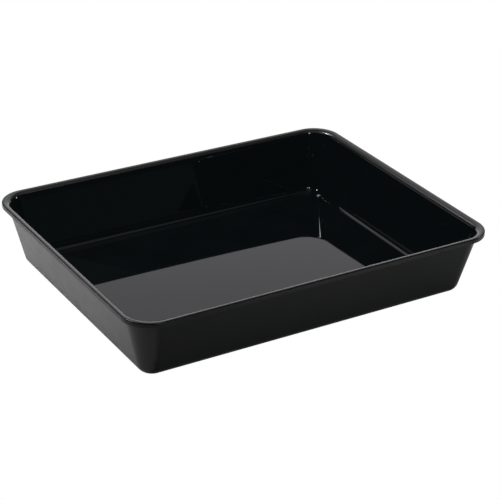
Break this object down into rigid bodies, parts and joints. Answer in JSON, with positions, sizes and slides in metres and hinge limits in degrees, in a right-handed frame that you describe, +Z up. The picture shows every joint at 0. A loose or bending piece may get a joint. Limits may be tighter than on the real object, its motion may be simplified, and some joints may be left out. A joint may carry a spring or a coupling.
{
  "type": "paint tray",
  "caption": "Shallow rectangular moulded plastic paint tray with flared walls, rounded corners, a rolled turned-down rim and a plain glossy floor.",
  "frame": {"origin": "middle of the level face on which the tray stands", "axes": "+X along the tray's length, +Y along its width, +Z up"},
  "size_m": [0.38, 0.296, 0.065],
  "materials": {
    "tray_plastic": "black moulded plastic, glossy inside, satin outside"
  },
  "bodies": {
    "root": {"tray": "tray_plastic"}
  },
  "joints": []
}
